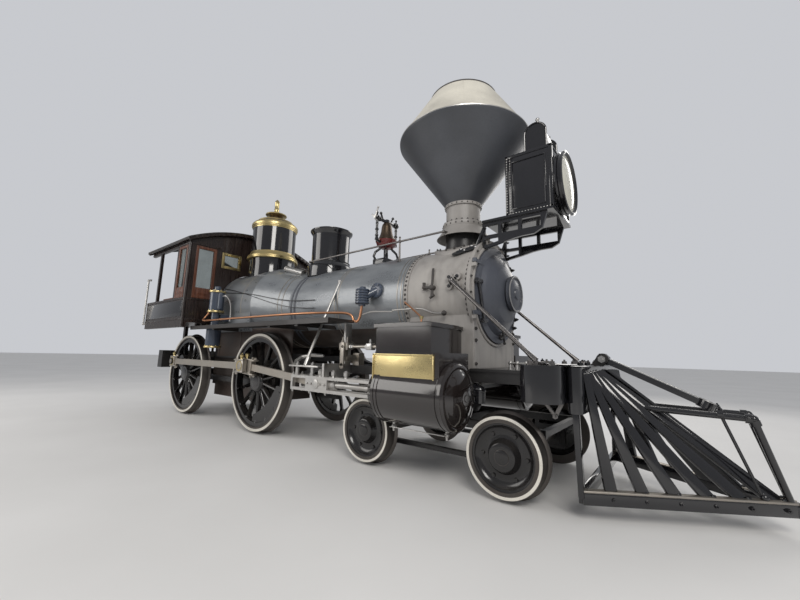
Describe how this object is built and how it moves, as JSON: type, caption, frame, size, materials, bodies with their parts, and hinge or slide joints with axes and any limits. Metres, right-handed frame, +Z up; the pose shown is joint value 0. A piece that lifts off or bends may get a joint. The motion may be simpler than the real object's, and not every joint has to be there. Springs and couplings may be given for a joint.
{
  "type": "wood-burning steam locomotive, 4-4-0, without tender",
  "caption": "Wood-burning 4-4-0 steam locomotive with balloon stack, domes, cab, slatted pilot and moving rods, without its tender.",
  "frame": {"origin": "under the middle of the locomotive, level with the wheels' flange tips; the rail top is 28 mm higher", "axes": "+X to the pilot, +Y to the engine's left, +Z up"},
  "size_m": [8.88, 2.62, 4.3078],
  "materials": {
    "frame_black": "satin",
    "iron_dark": "rough",
    "gloss_black": "gloss",
    "smokebox_grey": "satin",
    "slate_paint": "satin",
    "boiler_jacket": "gloss",
    "firebox_brown": "satin",
    "stack_paint": "satin",
    "stack_cream": "satin",
    "bell_red": "gloss",
    "bell_bronze": "polished",
    "bright_steel": "brushed",
    "board_black": "painted",
    "cab_wood": "varnished",
    "seat_wood": "varnished",
    "pump_blue": "gloss",
    "wheel_black": "painted",
    "axle_steel": "turned",
    "cylinder_black": "gloss",
    "rod_steel": "brushed"
  },
  "bodies": {
    "root": {"main_frame": "frame_black", "driving_boxes": "iron_dark", "driver_springs": "iron_dark", "drag_beam": "frame_black", "bumper_beam": "gloss_black", "front_deck": "frame_black", "pilot": "gloss_black", "coupling_bracket": "frame_black", "smokebox": "smokebox_grey", "boiler_barrel": "boiler_jacket", "firebox": "boiler_jacket", "ashpan": "firebox_brown", "stack_foot": "stack_paint", "smokestack": "stack_paint", "stack_top_cone": "stack_cream", "steam_dome": "gloss_black", "sand_dome": "gloss_black", "bell_stand": "bell_red", "headlamp": "gloss_black", "headlamp_shelf": "gloss_black", "cylinder_saddle": "frame_black", "guides": "bright_steel", "running_boards": "board_black", "cab_floor": "cab_wood", "cab_front_wall": "cab_wood", "cab_sides": "cab_wood", "cab_roof": "cab_wood", "cab_seats": "seat_wood", "air_pump": "pump_blue", "smokebox_braces": "bright_steel", "blast_pipe": "iron_dark", "petticoat_pipe": "iron_dark", "valve_rods": "bright_steel", "cylinder_right": "cylinder_black", "cylinder_left": "cylinder_black"},
    "main_drivers": {"main_driver_wheels": "wheel_black", "main_driver_axle": "axle_steel"},
    "rear_drivers": {"rear_driver_wheels": "wheel_black", "rear_driver_axle": "axle_steel"},
    "bogie": {"bogie_frame": "frame_black"},
    "bogie_front_set": {"bogie_wheels_front": "wheel_black", "bogie_axle_front": "axle_steel"},
    "bogie_rear_set": {"bogie_wheels_rear": "wheel_black", "bogie_axle_rear": "axle_steel"},
    "bell": {"bell": "bell_bronze"},
    "smokebox_door": {"smokebox_door": "slate_paint"},
    "fire_door": {"fire_door": "iron_dark"},
    "coupling_bar": {"coupling_bar": "gloss_black"},
    "side_rod_right": {"side_rod_right": "rod_steel"},
    "crosshead_right": {"crosshead_right": "bright_steel"},
    "main_rod_right": {"main_rod_right": "rod_steel"},
    "side_rod_left": {"side_rod_left": "rod_steel"},
    "crosshead_left": {"crosshead_left": "bright_steel"},
    "main_rod_left": {"main_rod_left": "rod_steel"}
  },
  "joints": [
    {"name": "main_axle_turn", "type": "hinge", "parent": "root", "child": "main_drivers", "pos_m": [-0.96, 0, 0.714], "axis": [0, 1, 0], "continuous": true},
    {"name": "rear_axle_turn", "type": "hinge", "parent": "root", "child": "rear_drivers", "pos_m": [-3.328, 0, 0.714], "axis": [0, 1, 0], "continuous": true},
    {"name": "side_rod_right_pin", "type": "hinge", "parent": "rear_drivers", "child": "side_rod_right", "pos_m": [-3.50759, -0.9615, 0.92803], "axis": [0, 1, 0], "continuous": true},
    {"name": "crosshead_right_slide", "type": "slide", "parent": "root", "child": "crosshead_right", "axis": [1, 0, 0], "range_m": [-0.0954, 0.4639]},
    {"name": "main_rod_right_pin", "type": "hinge", "parent": "crosshead_right", "child": "main_rod_right", "pos_m": [0.53422, -0.8845, 0.784], "axis": [0, 1, 0], "range_deg": [-16.92, 2.24]},
    {"name": "side_rod_left_pin", "type": "hinge", "parent": "rear_drivers", "child": "side_rod_left", "pos_m": [-3.11397, 0.9615, 0.8936], "axis": [0, 1, 0], "continuous": true},
    {"name": "crosshead_left_slide", "type": "slide", "parent": "root", "child": "crosshead_left", "axis": [1, 0, 0], "range_m": [-0.4916, 0.0677]},
    {"name": "main_rod_left_pin", "type": "hinge", "parent": "crosshead_left", "child": "main_rod_left", "pos_m": [0.93045, 0.8845, 0.784], "axis": [0, 1, 0], "range_deg": [-15.74, 3.42]},
    {"name": "bogie_swivel", "type": "hinge", "parent": "root", "child": "bogie", "pos_m": [1.9325, 0, 0.5], "axis": [0, 0, 1], "range_deg": [-3, 3]},
    {"name": "bogie_front_axle_turn", "type": "hinge", "parent": "bogie", "child": "bogie_front_set", "pos_m": [2.687, 0, 0.35], "axis": [0, 1, 0], "continuous": true},
    {"name": "bogie_rear_axle_turn", "type": "hinge", "parent": "bogie", "child": "bogie_rear_set", "pos_m": [1.178, 0, 0.35], "axis": [0, 1, 0], "continuous": true},
    {"name": "bell_swing", "type": "hinge", "parent": "root", "child": "bell", "pos_m": [0.7, 0, 2.988], "axis": [0, 1, 0], "range_deg": [-55, 55]},
    {"name": "smokebox_door_hinge", "type": "hinge", "parent": "root", "child": "smokebox_door", "pos_m": [2.325, -0.546, 1.804], "axis": [0, 0, -1], "range_deg": [0, 75]},
    {"name": "fire_door_hinge", "type": "hinge", "parent": "root", "child": "fire_door", "pos_m": [-2.996, 0.251, 1.878], "axis": [0, 0, -1], "range_deg": [0, 110]},
    {"name": "coupling_bar_pin", "type": "hinge", "parent": "root", "child": "coupling_bar", "pos_m": [3.31, 0, 1.144], "axis": [0, -1, 0], "range_deg": [0, 40]}
  ],
  "couplings": [
    {"joint": "rear_axle_turn", "follows": "main_axle_turn", "ratio": 1},
    {"joint": "side_rod_right_pin", "follows": "main_axle_turn", "ratio": -1},
    {"joint": "side_rod_left_pin", "follows": "main_axle_turn", "ratio": -1}
  ]
}
